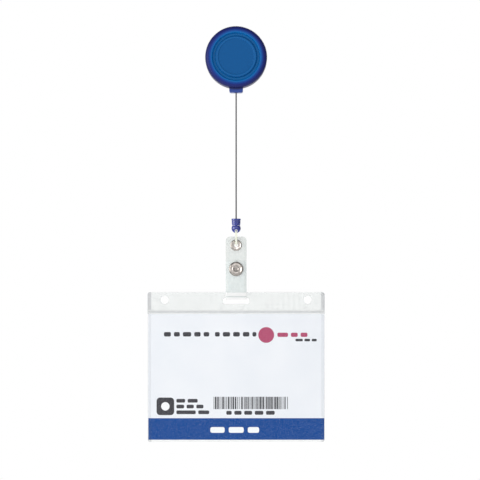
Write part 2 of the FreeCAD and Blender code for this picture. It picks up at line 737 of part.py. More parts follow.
def strap_holes(name, depth, *drops):
    """Round holes through a leg of the strap, each (drop, radius)."""
    return [
        primitive("Cylinder", f"{name}_{count}", ("0", f"-({depth}) + strap_thick * 2", f"-{drop}"),
                  turn=FACING, Radius=radius, Height="4 * strap_thick")
        for count, (drop, radius) in enumerate(drops, start=1)
    ]


def strap_end(name, depth, top_drop, low_drop):
    """A block with two rounded upper corners, which trims a leg's free end."""
    half = "strap_width / 2"
    block = plate(name, "XZ_Plane", [
        (f"-{half}", f"-({low_drop})"),
        (half, f"-({low_drop})"),
        (half, f"-({top_drop})", "strap_round"),
        (f"-{half}", f"-({top_drop})", "strap_round"),
    ], "8 * strap_thick")
    return place(block, y=f"-({depth}) + 4 * strap_thick")


def strap_front_leg():
    """From above the eyelet down the front of the wallet and half way round the fold."""
    top = f"({EYELET_DROP} - strap_head)"
    low = f"-({FOLD_DROP} + {HALF_FOLD})"
    bar = plate("front_leg_strip", "YZ_Plane", [
        (f"-{HALF_FOLD}", f"-{top}"),
        (f"-{HALF_FOLD}", low, f"{FOLD_ROUND} + strap_thick"),
        ("-(strap_thick / 2 + fold_split)", low),
        ("-(strap_thick / 2 + fold_split)", f"{low} + strap_thick"),
        ("-leg_gap / 2", f"{low} + strap_thick", FOLD_ROUND),
        ("-leg_gap / 2", f"-{top}"),
    ], "strap_width")
    place(bar, "-strap_width / 2", f"-{WALLET_DEPTH}")
    end = strap_end("front_leg_end", STRAP_FACE, top, f"{FOLD_DROP} + 2 * {HALF_FOLD}")
    leg = doc.addObject("Part::Common", "front_leg_trimmed")
    leg.Base, leg.Tool = bar, end
    holes = strap_holes("front_leg_hole", STRAP_FACE,
                        (EYELET_DROP, "eyelet_barrel + pin_clear"),
                        (SNAP_DROP, "shank_radius + pin_clear"))
    return cut("strap_front_leg", leg, *holes)


def strap_back_leg():
    """The other half of the fold, whose end is round about the fold line, and the rear leg."""
    top = f"({SNAP_DROP} - strap_tail)"
    low = f"-({FOLD_DROP} + {HALF_FOLD})"
    bar = plate("back_leg_strip", "YZ_Plane", [
        ("0", low),
        (HALF_FOLD, low, f"{FOLD_ROUND} + strap_thick"),
        (HALF_FOLD, f"-{top}"),
        ("leg_gap / 2", f"-{top}"),
        ("leg_gap / 2", f"{low} + strap_thick", FOLD_ROUND),
        ("0", f"{low} + strap_thick"),
    ], "strap_width")
    place(bar, "-strap_width / 2", f"-{WALLET_DEPTH}")
    knuckle = primitive("Cylinder", "fold_knuckle",
                        ("-strap_width / 2", f"-{WALLET_DEPTH}", f"{low} + strap_thick / 2"),
                        turn=ALONG_X, Radius="strap_thick / 2", Height="strap_width")
    whole = fused("back_leg_whole", bar, knuckle)
    end = strap_end("back_leg_end", LEG_BACK, top, f"{FOLD_DROP} + 2 * {HALF_FOLD}")
    leg = doc.addObject("Part::Common", "back_leg_trimmed")
    leg.Base, leg.Tool = whole, end
    holes = strap_holes("back_leg_hole", LEG_BACK, (SNAP_DROP, "shank_radius + pin_clear"))
    return cut("strap_back_leg", leg, *holes)


def on_strap(name, drop, corners):
    """A turned fastener. Its outline's heights count from the strap's front face forwards."""
    return place(turned(name, corners), y=f"-{STRAP_FACE}", z=f"-{drop}", turn=FACING)


def eyelet_barrel():
    behind = "-(strap_thick + washer_thick)"
    return on_strap("eyelet_barrel", EYELET_DROP, [
        ("eyelet_hole", f"{behind} - clinch"),
        ("eyelet_barrel + eyelet_lip", f"{behind} - clinch", "clinch / 2"),
        ("eyelet_barrel + eyelet_lip", behind),
        ("eyelet_barrel", behind),
        ("eyelet_barrel", "0"),
        ("eyelet_rim", "0"),
        ("eyelet_rim", "eyelet_high / 2", "press_round / 2"),
        ("eyelet_rim - eyelet_lip", "eyelet_high", "press_round"),
        ("eyelet_rim - eyelet_cup", "eyelet_high / 2", "press_round"),
        ("eyelet_hole", "eyelet_high / 3"),
    ])


def eyelet_washer():
    behind = "-(strap_thick + washer_thick)"
    return on_strap("eyelet_washer", EYELET_DROP, [
        ("eyelet_barrel + pin_clear", behind),
        ("eyelet_rim", behind, "washer_thick / 2"),
        ("eyelet_rim", "-strap_thick"),
        ("eyelet_barrel + pin_clear", "-strap_thick"),
    ])


def snap_cap():
    """Dished cap with a raised inner ring. Its shank goes through strap and socket."""
    shank_end = "-(strap_thick + socket_base)"
    ring = "(snap_radius - snap_ring)"
    return on_strap("snap_cap", SNAP_DROP, [
        ("0", f"{shank_end} - clinch"),
        ("shank_radius + shank_flare", f"{shank_end} - clinch"),
        ("shank_radius + shank_flare", shank_end),
        ("shank_radius", shank_end),
        ("shank_radius", "0"),
        ("snap_radius", "0"),
        ("snap_radius", "snap_high / 2", "press_round"),
        ("snap_radius - snap_lip", "snap_high", "press_round"),
        ("snap_radius - snap_dish", "snap_high / 2", "press_round"),
        (ring, "snap_high - press_round", "press_round / 2"),
        (f"{ring} - snap_ring_wide", "snap_high - press_round", "press_round / 2"),
        (f"{ring} - 2 * snap_ring_wide", "snap_high / 3", "press_round"),
        ("0", "snap_high / 3"),
    ])


def snap_socket():
    back = f"-(strap_thick + {SOCKET_HIGH})"
    base = "-(strap_thick + socket_base)"
    hole = "(shank_radius + pin_clear)"
    return on_strap("snap_socket", SNAP_DROP, [
        (hole, "-strap_thick"),
        ("socket_radius", "-strap_thick"),
        ("socket_radius", back, "press_round"),
        ("socket_bore", back, "press_round"),
        ("socket_bore", base),
        (hole, base),
    ])


def snap_spring_ring():
    """Wire ring that grips the stud's neck, just inside the socket's mouth."""
    middle = f"(-{STRAP_FACE} + strap_thick + {SOCKET_HIGH} - 2 * ring_wire)"
    return primitive("Torus", "snap_spring_ring", ("0", middle, f"-{SNAP_DROP}"), turn=FACING,
                     Radius1="stud_radius + ring_wire + bearing_clear", Radius2="ring_wire")


def snap_stud():
    """Stud half on the back leg. Its head stands inside the socket and its ring."""
    foot = "-(strap_thick + leg_gap)"
    base = f"({foot} + stud_base_high)"
    tip = "-(strap_thick + socket_base + clinch + stud_room)"
    bore = "(shank_radius + pin_clear)"
    return on_strap("snap_stud", SNAP_DROP, [
        (bore, foot),
        ("stud_base", foot),
        ("stud_base", base, "press_round"),
        ("stud_neck", base),
        ("stud_neck", f"{base} + stud_neck_high"),
        ("stud_radius", f"{base} + stud_neck_high + stud_shoulder"),
        ("stud_radius", tip, "press_round"),
        ("0", tip),
        ("0", f"{tip} - stud_skin"),
        (bore, f"{tip} - stud_skin"),
    ])


def snap_post():
    """Post behind the back leg, pressed into the hollow stud."""
    leg_back = "-(2 * strap_thick + leg_gap)"
    tip = "-(strap_thick + socket_base + clinch + stud_room + stud_skin + knot_clear)"
    return on_strap("snap_post", SNAP_DROP, [
        ("0", f"{leg_back} - post_high"),
        ("post_head", f"{leg_back} - post_high", "press_round"),
        ("post_head", leg_back),
        ("shank_radius", leg_back),
        ("shank_radius", tip),
        ("0", tip),
    ])


# ---------------------------------------------------------------- wallet and card


def flap_openings():
    """The badge slot's corners and the two round holes, in the wallet's own plane."""
    slot_top = f"-({FOLD_DROP} + bridge_seat)"
    slot = rectangle("-slot_width / 2", f"{slot_top} - slot_height", "slot_width / 2", slot_top,
                     "slot_round")
    reach = f"{WALLET_HALF} - hole_inset"
    holes = [(x, f"-({WALLET_TOP} + hole_drop)", "hole_radius") for x in (f"-({reach})", reach)]
    return [slot], holes


def wallet_outline():
    return rectangle(f"-{WALLET_HALF}", f"-{WALLET_END}", WALLET_HALF, f"-{WALLET_TOP}",
                     "wallet_round")


def wallet_back_sheet():
    """Flat sheet. Its front face is the plane that both welds lie in."""
    openings, circles = flap_openings()
    back = plate("wallet_back_sheet", "XZ_Plane", wallet_outline(), "sheet_thick",
                 openings=openings, circles=circles)
    return place(back, y=f"-{WALLET_DEPTH} + sheet_thick")


def wallet_front_sheet():
    """Sheet that steps forward between its two welds, and is folded round the left side."""
    raised = "(pocket_gap + sheet_thick)"
    low_step = "(seal_high + joggle)"
    high_weld = "(wallet_height - flap_high)"
    high_step = f"({high_weld} - joggle)"
    strip = plate("front_sheet_strip", "YZ_Plane", [
        ("0", "0"),
        ("0", "seal_high"),
        ("-pocket_gap", low_step),
        ("-pocket_gap", high_step),
        ("0", high_weld),
        ("0", "wallet_height"),
        ("-sheet_thick", "wallet_height"),
        ("-sheet_thick", high_weld),
        (f"-{raised}", high_step),
        (f"-{raised}", low_step),
        ("-sheet_thick", "seal_high"),
        ("-sheet_thick", "0"),
    ], "wallet_width")
    place(strip, f"-{WALLET_HALF}", f"-{WALLET_DEPTH}", f"-{WALLET_END}")
    side = primitive("Box", "folded_side",
                     (f"-{WALLET_HALF}", f"-({WALLET_DEPTH} + pocket_gap)",
                      f"-{WALLET_END} + {low_step}"),
                     Length="fold_wall", Width="pocket_gap", Height=f"{high_step} - {low_step}")
    openings, circles = flap_openings()
    stencil = plate("front_sheet_stencil", "XZ_Plane", wallet_outline(), "4 * pocket_gap",
                    openings=openings, circles=circles)
    place(stencil, y=f"-{WALLET_DEPTH} + pocket_gap")
    front = doc.addObject("Part::Common", "wallet_front_sheet")
    front.Base, front.Tool = fused("front_sheet_whole", strip, side), stencil
    return front


def insert_card():
    left = f"(-{WALLET_HALF} + fold_wall + card_clear)"
    low = f"(-{WALLET_END} + card_foot)"
    card = plate("insert_card", "XZ_Plane",
                 rectangle(left, low, f"{WALLET_HALF} - card_inset", f"{low} + card_height"),
                 "card_thick")
    return place(card, y=f"-{WALLET_DEPTH} - (pocket_gap - card_thick) / 2")


passage = cord_passage()
pieces = [
    front_cover(passage), rear_cover(passage), spool(), power_spring(),
    cord_winding(), cord_lead_in(), cord_free(), cord_anchor_knot(), cord_end_knot(),
    belt_clip_base(), belt_clip_tongue(), clip_rivet(),
    cord_end_cap(), swivel_eye(), link_loop(),
    strap_front_leg(), strap_back_leg(), eyelet_barrel(), eyelet_washer(),
    snap_cap(), snap_socket(), snap_spring_ring(), snap_stud(), snap_post(),
    wallet_back_sheet(), wallet_front_sheet(), insert_card(),
]
for piece in pieces:
    piece.Label = piece.Name
doc.recompute()

faults = [f"{thing.Label}: {thing.State}" for thing in doc.Objects
          if {"Invalid", "Error"} & set(thing.State)]
faults += [f"{piece.Label}: no valid solid" for piece in pieces
           if piece.Shape.isNull() or not piece.Shape.isValid() or len(piece.Shape.Solids) != 1]
if faults:
    raise RuntimeError("; ".join(faults))

os.makedirs("parts", exist_ok=True)
for piece in pieces:
    piece.Shape.exportStep(f"parts/{piece.Label}.step")
    box = piece.Shape.BoundBox
    print(f"{piece.Label}: {piece.Shape.Volume:.3f} mm3, "
          f"x {box.XMin:.2f}..{box.XMax:.2f} y {box.YMin:.2f}..{box.YMax:.2f} "
          f"z {box.ZMin:.2f}..{box.ZMax:.2f}")
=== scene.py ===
import json
import math
import random

import bmesh
import bpy
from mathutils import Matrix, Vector


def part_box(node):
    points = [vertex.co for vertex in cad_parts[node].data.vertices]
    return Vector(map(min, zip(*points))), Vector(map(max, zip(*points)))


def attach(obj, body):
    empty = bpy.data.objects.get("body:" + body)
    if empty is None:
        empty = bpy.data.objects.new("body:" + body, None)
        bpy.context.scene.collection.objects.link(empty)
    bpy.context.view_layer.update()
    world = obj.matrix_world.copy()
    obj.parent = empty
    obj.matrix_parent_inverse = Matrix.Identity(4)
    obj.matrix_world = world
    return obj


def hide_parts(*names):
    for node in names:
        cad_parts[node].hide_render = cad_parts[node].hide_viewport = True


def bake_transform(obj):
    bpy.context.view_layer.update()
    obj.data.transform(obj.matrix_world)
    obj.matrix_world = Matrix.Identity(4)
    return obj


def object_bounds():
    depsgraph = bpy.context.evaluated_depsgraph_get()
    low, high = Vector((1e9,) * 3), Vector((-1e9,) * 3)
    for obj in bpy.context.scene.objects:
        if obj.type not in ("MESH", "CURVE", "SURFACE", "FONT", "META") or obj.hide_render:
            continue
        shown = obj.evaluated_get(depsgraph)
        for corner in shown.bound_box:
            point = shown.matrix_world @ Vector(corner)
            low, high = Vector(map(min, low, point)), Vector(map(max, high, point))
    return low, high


# A retractable badge reel, hanging: a round case with a belt clip behind it, a cord with a swivelling
# end, a vinyl strap with a press snap, and a clear wallet with an insert card. Metres, in the frame of
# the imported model: +Z is up, the label faces -Y and the origin is on the reel's axis.

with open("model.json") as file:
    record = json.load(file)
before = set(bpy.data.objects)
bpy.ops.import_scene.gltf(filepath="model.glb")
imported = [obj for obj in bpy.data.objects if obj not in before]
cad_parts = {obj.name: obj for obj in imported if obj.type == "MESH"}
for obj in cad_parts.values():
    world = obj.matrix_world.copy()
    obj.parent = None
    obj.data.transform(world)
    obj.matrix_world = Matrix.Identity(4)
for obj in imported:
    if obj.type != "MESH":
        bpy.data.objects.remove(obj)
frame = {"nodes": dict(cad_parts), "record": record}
cad_low, cad_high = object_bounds()

MM = 0.001
NODES = frame["nodes"]

# Places that the pieces share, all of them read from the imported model.
CORD_LOW, CORD_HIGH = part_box("cord_free")
CORD_RADIUS = (CORD_HIGH.x - CORD_LOW.x) / 2
CORD_Y = (CORD_LOW.y + CORD_HIGH.y) / 2
FRONT_LOW, FRONT_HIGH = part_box("strap_front_leg")
REAR_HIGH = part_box("strap_back_leg")[1]
EYELET_LOW, EYELET_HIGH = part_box("eyelet_barrel")
EYELET_Z = (EYELET_LOW.z + EYELET_HIGH.z) / 2
SNAP_LOW, SNAP_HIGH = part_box("snap_cap")
SNAP_Z = (SNAP_LOW.z + SNAP_HIGH.z) / 2
SHEET_LOW, SHEET_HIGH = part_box("wallet_back_sheet")
POCKET_LOW, POCKET_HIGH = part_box("wallet_front_sheet")
CARD_LOW, CARD_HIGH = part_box("insert_card")


# ---------------------------------------------------------------- camera and light


VIEW_WIDTH = 248.9 * MM  # what the picture spans at the object
VIEW_X = 2.0 * MM
VIEW_Z = -94.5 * MM
LENS = 100.0
CLIP_NEAR, CLIP_FAR = 0.01, 50

# Each lamp's place, width, power in watts and colour.
LAMPS = {
    "key": ((-1.25, -0.5, 0.0), 1.3, 12, (1, 0.99, 0.97)),
    "glint": ((-0.12, -1.25, 0.28), 0.25, 1.2, (1, 1, 1)),
    "fill": ((0.9, -0.9, 0.3), 1.0, 0.8, (0.95, 0.97, 1)),
    "rear": ((0.4, 1.2, 0.8), 0.9, 6, (1, 1, 1)),
}

# How bright the room is, from in front of the object (0) round to behind it (1).
ROOM = ((0.0, 0.76), (0.2, 0.64), (0.4, 0.2), (0.62, 0.18), (0.82, 0.7), (1.0, 0.95))
CLEAR_LAYERS = 32  # surfaces that light may pass straight through, one after another


def add_object(name, data):
    made = bpy.data.objects.new(name, data)
    bpy.context.scene.collection.objects.link(made)
    return made


def add_camera():
    """Straight on to the front, from far enough off to look flat."""
    data = bpy.data.cameras.new("camera")
    data.lens = LENS
    data.clip_start, data.clip_end = CLIP_NEAR, CLIP_FAR
    camera = add_object("camera", data)
    distance = VIEW_WIDTH * data.lens / data.sensor_width
    camera.location = (VIEW_X, CORD_Y - distance, VIEW_Z)
    camera.rotation_euler = (math.pi / 2, 0, 0)
    bpy.context.scene.camera = camera


def add_lamps():
    """A big soft lamp on the left, a small one in front, and weaker ones on the right and behind."""
    middle = Vector((0, 0, VIEW_Z))
    for name, (place, size, watts, colour) in LAMPS.items():
        data = bpy.data.lights.new(name, "AREA")
        data.shape, data.size, data.energy, data.color = "DISK", size, watts, colour
        light = add_object(name, data)
        light.location = place
        light.rotation_euler = (middle - Vector(place)).to_track_quat("-Z", "Y").to_euler()


def fill_ramp(elements, stops):
    """Set a colour ramp's elements to these stops: (place, colour or brightness)."""
    while len(elements) < len(stops):
        elements.new(0.5)
    for element, (at, what) in zip(elements, stops):
        colour = what if isinstance(what, tuple) else (what, what, what)
        element.position, element.color = at, (*colour, 1)


def add_room():
    """A pale room that lights the object unevenly, and that the camera sees as plain white."""
    world = bpy.data.worlds.new("room")
    bpy.context.scene.world = world
    world.use_nodes = True
    tree = world.node_tree
    tree.nodes.clear()
    where = tree.nodes.new("ShaderNodeTexCoord")
    split = tree.nodes.new("ShaderNodeSeparateXYZ")
    span = tree.nodes.new("ShaderNodeMapRange")
    ramp = tree.nodes.new("ShaderNodeValToRGB")
    lit, seen = (tree.nodes.new("ShaderNodeBackground") for _ in range(2))
    ray = tree.nodes.new("ShaderNodeLightPath")
    mix = tree.nodes.new("ShaderNodeMixShader")
    out = tree.nodes.new("ShaderNodeOutputWorld")
    span.inputs["From Min"].default_value = -1
    seen.inputs["Color"].default_value = (1, 1, 1, 1)
    fill_ramp(ramp.color_ramp.elements, ROOM)
    tree.links.new(where.outputs["Generated"], split.inputs[0])
    tree.links.new(split.outputs["Y"], span.inputs["Value"])
    tree.links.new(span.outputs[0], ramp.inputs["Fac"])
    tree.links.new(ramp.outputs["Color"], lit.inputs["Color"])
    tree.links.new(ray.outputs["Is Camera Ray"], mix.inputs["Fac"])
    tree.links.new(lit.outputs[0], mix.inputs[1])
    tree.links.new(seen.outputs[0], mix.inputs[2])
    tree.links.new(mix.outputs[0], out.inputs["Surface"])


# ---------------------------------------------------------------- looks


class Look:
    """A material: a Principled shader, and the nodes that vary it."""

    def __init__(self, name, colour, rough, **fixed):
        self.material = bpy.data.materials.new(name)
        self.material.use_nodes = True
        self.tree = self.material.node_tree
        self.tree.nodes.clear()
        self.shader = self.node("BsdfPrincipled")
        self.out = self.node("OutputMaterial")
        self.join(self.shader.outputs[0], self.out.inputs["Surface"])
        self.set("Base Color", (*colour, 1))
        self.set("Roughness", rough)
        for socket, value in fixed.items():
            self.set(socket.replace("_", " "), value)
        self.place = self.node("TexCoord").outputs["Object"]

    def node(self, kind, **values):
        made = self.tree.nodes.new(f"ShaderNode{kind}")
        for key, value in values.items():
            setattr(made, key, value)
        return made

    def join(self, start, end):
        self.tree.links.new(start, end)

    def set(self, socket, value):
        self.shader.inputs[socket].default_value = value

    def drive(self, socket, source):
        self.join(source, self.shader.inputs[socket])

    def vary(self, socket, source, first, second, low=0.3, high=0.7):
        """Run a socket from first, where the source is low, to second, where it is high."""
        self.drive(socket, self.ramp(source, (low, first), (high, second)))

    def scaled(self, x, y, z):
        """The object's own coordinates in metres, times these."""
        made = self.node("Mapping")
        made.inputs["Scale"].default_value = (x, y, z)
        self.join(self.place, made.inputs["Vector"])
        return made.outputs[0]

    def speckle(self, per_metre, detail=3.0):
        """Soft noise from 0 to 1."""
        made = self.node("TexNoise")
        made.inputs["Scale"].default_value = per_metre
        made.inputs["Detail"].default_value = detail
        self.join(self.place, made.inputs["Vector"])
        return made.outputs["Fac"]

    def streaks(self, x, y, z, detail=3.0):
        """The same noise, with so many per metre along each axis."""
        made = self.node("TexNoise")
        made.inputs["Scale"].default_value = 1.0
        made.inputs["Detail"].default_value = detail
        self.join(self.scaled(x, y, z), made.inputs["Vector"])
        return made.outputs["Fac"]

    def maths(self, operation, first, second=0.0):
        made = self.node("Math", operation=operation)
        for socket, value in zip(made.inputs, (first, second)):
            if isinstance(value, (int, float)):
                socket.default_value = value
            else:
                self.join(value, socket)
        return made.outputs[0]

    def axis(self, letter):
        """One of the object's own coordinates, in metres."""
        parts = self.node("SeparateXYZ")
        self.join(self.place, parts.inputs[0])
        return parts.outputs[letter]

    def from_axis(self, x, z):
        """How far a point is from the line along Y at this x and z, in metres."""
        squares = [self.maths("POWER", self.maths("SUBTRACT", self.axis(letter), at), 2.0)
                   for letter, at in (("X", x), ("Z", z))]
        return self.maths("SQRT", self.maths("ADD", *squares))

    def share(self, source, low, high):
        """0 where the source is low, 1 where it is high, and straight between them."""
        made = self.node("MapRange")
        made.inputs["From Min"].default_value = low
        made.inputs["From Max"].default_value = high
        self.join(source, made.inputs["Value"])
        return made.outputs[0]

    def mixed(self, share, first, second, kind="FLOAT"):
        """first where share is 0 and second where it is 1: numbers, colours or sockets."""
        made = self.node("Mix", data_type=kind)
        pair = {"FLOAT": (2, 3), "RGBA": (6, 7)}[kind]
        self.join(share, made.inputs[0])
        for place, value in zip(pair, (first, second)):
            if isinstance(value, tuple):
                made.inputs[place].default_value = (*value, 1)
            elif isinstance(value, (int, float)):
                made.inputs[place].default_value = value
            else:
                self.join(value, made.inputs[place])
        return made.outputs[{"FLOAT": 0, "RGBA": 2}[kind]]

    def painted(self, share, under, over):
        """One colour over another, as far as share says."""
        return self.mixed(share, under, over, "RGBA")

    def ramp(self, source, *stops):
        """Colours or plain numbers by the source's value: (value, colour or number)."""
        made = self.node("ValToRGB")
        fill_ramp(made.color_ramp.elements, stops)
        self.join(source, made.inputs["Fac"])
        return made.outputs["Color"]

    def bump(self, height, deep, strength):
        made = self.node("Bump")
        made.inputs["Distance"].default_value = deep
        made.inputs["Strength"].default_value = strength
        self.join(height, made.inputs["Height"])
        self.drive("Normal", made.outputs[0])

    def see_through(self, cover):
        """Let light through: cover is the share that the shader keeps."""
        clear = self.node("BsdfTransparent")
        mix = self.node("MixShader")
        self.join(cover, mix.inputs["Fac"])
        self.join(clear.outputs[0], mix.inputs[1])
        self.join(self.shader.outputs[0], mix.inputs[2])
        self.join(mix.outputs[0], self.out.inputs["Surface"])


def srgb(red, green, blue):
    """A colour on the 0 to 255 scale, as Blender's linear colour."""
    return tuple(
        (c / 12.92 if c <= 0.04045 else ((c + 0.055) / 1.055) ** 2.4)
        for c in (red / 255, green / 255, blue / 255)
    )


# The case's colours and roughness by the distance from its axis, as a share of this reach.
CASE_REACH = 18 * MM
CASE_WANDER = 0.02
DISC_BLUE = srgb(2, 84, 146)
CASE_COLOURS = (
    (0.0, DISC_BLUE), (0.51, DISC_BLUE), (0.545, srgb(10, 94, 158)),  # disc, and its lip in a lighter blue that is a painted highlight
    (0.575, srgb(0, 78, 140)), (0.62, srgb(0, 98, 160)), (0.71, srgb(0, 96, 166)),  # ring groove: a darker foot that is painted shade in its crease, then teal that is partly clearer plastic and partly painted light
    (0.75, srgb(14, 66, 146)), (0.80, srgb(26, 38, 112)), (0.90, srgb(24, 28, 78)),  # rim
    (0.955, srgb(48, 72, 146)),  # neck
)
CASE_ROUGHNESS = ((0.50, 0.5), (0.54, 0.42), (0.72, 0.4), (0.9, 0.34))


def case_look():
    """Deep blue plastic: navy at the rim, lighter teal over the ring groove, finely grained disc. The
    groove's teal is partly clearer plastic and partly painted light, painted shade darkens its inner crease,
    and the disc's lip carries a painted highlight.
    """
    look = Look("case_blue", srgb(8, 84, 146), 0.3, Specular_IOR_Level=0.16)
    patch = look.speckle(per_metre=90, detail=2)
    wander = look.maths("MULTIPLY", look.maths("SUBTRACT", patch, 0.5), CASE_WANDER)
    share = look.maths("ADD", look.maths("DIVIDE", look.from_axis(0, 0), CASE_REACH), wander)
    # The colours by radius paint light and shade in rings: a highlight on the disc's lip, shade in the
    # groove's inner crease, and part of the groove's teal.
    look.drive("Base Color", look.ramp(share, *CASE_COLOURS))
    look.drive("Roughness", look.ramp(share, *CASE_ROUGHNESS))
    look.bump(look.speckle(per_metre=5200, detail=2), deep=0.002 * MM, strength=0.3)
    return look.material


def spool_look():
    look = Look("spool_white", srgb(236, 236, 230), 0.45)
    look.vary("Base Color", look.speckle(per_metre=240), srgb(228, 228, 222), srgb(240, 240, 235))
    look.bump(look.speckle(per_metre=3000), deep=0.01 * MM, strength=0.4)
    return look.material


def steel_look(name, colour, rough, along):
    """Plated or rolled metal with fine scratches that run along one axis."""
    look = Look(name, colour, rough, Metallic=1.0)
    across_rate, along_rate = 2600.0, 120.0
    rates = [along_rate if axis == along else across_rate for axis in "xyz"]
    scratch = look.streaks(*rates, detail=4)
    dull = tuple(c * 0.86 for c in colour)
    look.vary("Base Color", look.speckle(per_metre=260), dull, colour, 0.35, 0.6)
    look.vary("Roughness", scratch, rough * 0.75, rough * 1.5)
    look.bump(scratch, deep=0.004 * MM, strength=0.35)
    return look.material


def cord_look():
    look = Look("cord_grey", srgb(62, 62, 66), 0.6, Sheen_Weight=0.3, Sheen_Roughness=0.4)
    fibre = look.streaks(16000, 16000, 2500)
    look.vary("Base Color", fibre, srgb(40, 40, 43), srgb(92, 92, 96))
    look.bump(fibre, deep=0.01 * MM, strength=0.6)
    return look.material


def fitting_look():
    """Clear blue plastic, seen dark through its thick parts and light where it thins."""
    look = Look("fitting_blue", srgb(40, 56, 160), 0.08, IOR=1.49, Transmission_Weight=0.35,
                Coat_Weight=1.0, Coat_Roughness=0.03)
    patch = look.speckle(per_metre=160, detail=2)
    look.vary("Base Color", patch, srgb(34, 48, 146), srgb(50, 70, 176), 0.35, 0.65)
    look.vary("Roughness", look.speckle(per_metre=1500), 0.06, 0.12)
    look.bump(look.speckle(per_metre=420, detail=1), deep=0.002 * MM, strength=0.2)
    return look.material


def link_look():
    look = Look("link_cream", srgb(234, 236, 220), 0.38, Subsurface_Weight=0.2,
                Subsurface_Radius=(0.001, 0.001, 0.0007), Subsurface_Scale=1.0)
    look.vary("Base Color", look.speckle(per_metre=500), srgb(230, 234, 216), srgb(242, 244, 232))
    look.bump(look.speckle(per_metre=2600), deep=0.008 * MM, strength=0.4)
    return look.material


NICKEL = srgb(218, 211, 205)
NICKEL_HANDLED = srgb(196, 188, 182)
# The dark that paints reflections and shade into the nickel's rings.
PAINTED_DARK_REFLECTION = srgb(30, 28, 27)

# Rings of painted dark reflection and shade round the eyelet and the snap's cap: (radius in millimetres, how
# bright).
EYELET_RINGS = ((0, 1.0), (2.35, 1.0), (2.6, 0.62), (2.8, 0.5), (3.0, 0.35))
SNAP_RINGS = ((0, 0.5), (0.6, 0.8), (1.1, 0.55), (1.5, 0.62), (1.9, 0.95), (2.6, 1.0), (3.1, 0.6),
              (3.4, 0.42), (3.7, 0.3))


def nickel_look(name, height=0.0, rings=()):
    """Bright plate with light handling marks, and painted dark reflections and shade in rings round the axis
    at this height.
    """
    look = Look(name, NICKEL, 0.2, Metallic=1.0)
    patch = look.speckle(per_metre=900, detail=4)
    plated = look.ramp(patch, (0.3, NICKEL_HANDLED), (0.62, NICKEL))
    if rings:
        reach = rings[-1][0]
        # Painted dark reflections and shade: the plate darkens towards the dark colour in rings round the
        # axis.
        out = look.share(look.from_axis(0, height), 0, reach * MM)
        shade = look.ramp(out, *((radius / reach, bright) for radius, bright in rings))
        plated = look.painted(shade, PAINTED_DARK_REFLECTION, plated)
    look.drive("Base Color", plated)
    look.vary("Roughness", look.speckle(per_metre=4200), 0.16, 0.28, high=0.75)
    look.bump(look.speckle(per_metre=2400, detail=4), deep=0.003 * MM, strength=0.3)
    return look.material


PRESS_RING = (3.4 * MM, 4.8 * MM)  # from the eyelet's middle, where a darker ring runs round it
STREAK_FROM = 3.2 * MM  # from the strap's middle, where a darker streak starts beside its right edge
PAINTED_LIFT_FROM, PAINTED_LIFT_FULL = 0.5 * MM, -1.5 * MM  # above the back leg's end, where painted light brightens the front leg


def strap_look():
    """Frosted vinyl, faintly mottled, with a darker ring round the eyelet. Painted light makes it lighter
    where its two legs lie over each other than above the back leg, and a painted highlight whitens it at the
    fold and where it crosses the wallet's top.
    """
    look = Look("strap_frost", srgb(228, 233, 231), 0.4, Coat_Weight=0.15, Coat_Roughness=0.25)
    cloud = look.speckle(per_metre=520)
    # Lit and shaded copies of its colour: painted shade above the back leg, painted light where the two legs
    # overlap.
    single_shaded = look.ramp(cloud, (0.3, srgb(218, 225, 223)), (0.7, srgb(230, 234, 231)))
    double_lit = look.ramp(cloud, (0.3, srgb(232, 240, 240)), (0.7, srgb(243, 248, 247)))
    painted_lift = look.share(look.axis("Z"), REAR_HIGH.z + PAINTED_LIFT_FROM, REAR_HIGH.z + PAINTED_LIFT_FULL)
    body = look.painted(painted_lift, single_shaded, double_lit)
    ring = look.ramp(look.share(look.from_axis(0, EYELET_Z), *PRESS_RING),
                     (0.25, 0.0), (0.45, 0.5), (0.6, 0.5), (0.8, 0.0))
    marked = look.painted(ring, body, srgb(206, 211, 208))
    side = look.ramp(look.share(look.axis("X"), STREAK_FROM, FRONT_HIGH.x),
                     (0.2, 0.0), (0.6, 0.4), (0.8, 0.4), (1.0, 0.1))
    streaked = look.painted(side, marked, srgb(207, 212, 210))
    # A painted highlight: white at the fold and across the wallet's top, with a grey line between.
    over_wallet = look.share(look.axis("Z"), FRONT_LOW.z, SHEET_HIGH.z)
    painted_highlight = look.ramp(over_wallet, (0.26, 1.0), (0.33, 0.1), (0.46, 0.1), (0.54, 1.0),
                          (0.92, 1.0), (1.0, 0.0))
    look.drive("Base Color", look.painted(painted_highlight, streaked, srgb(255, 255, 255)))
    fibre = look.streaks(1300, 1300, 700, detail=4)
    look.bump(fibre, deep=0.012 * MM, strength=0.35)
    look.vary("Roughness", fibre, 0.34, 0.48)
    frost = look.ramp(fibre, (0.3, 0.44), (0.7, 0.52))
    look.see_through(look.mixed(painted_highlight, frost, 0.75))
    return look.material


# How much of the light each zone of the wallet's vinyl keeps: a share, or two that it wanders between.
OVER_CARD = (0.001, 0.003)
OVER_FLAP = (0.17, 0.21)
AT_HEM, AT_WELD, AT_FOOT = 0.035, 0.2, 0.12

# Where those zones start, and where each is full.
HEM_FROM, HEM_FULL = 2.0 * MM, 1.7 * MM  # from the wallet's sides
FOOT_FROM, FOOT_FULL = 1.2 * MM, 0.8 * MM  # from its foot
FLAP_FROM, FLAP_FULL, WELD_END = 0.1 * MM, 0.3 * MM, 2.3 * MM  # above the card


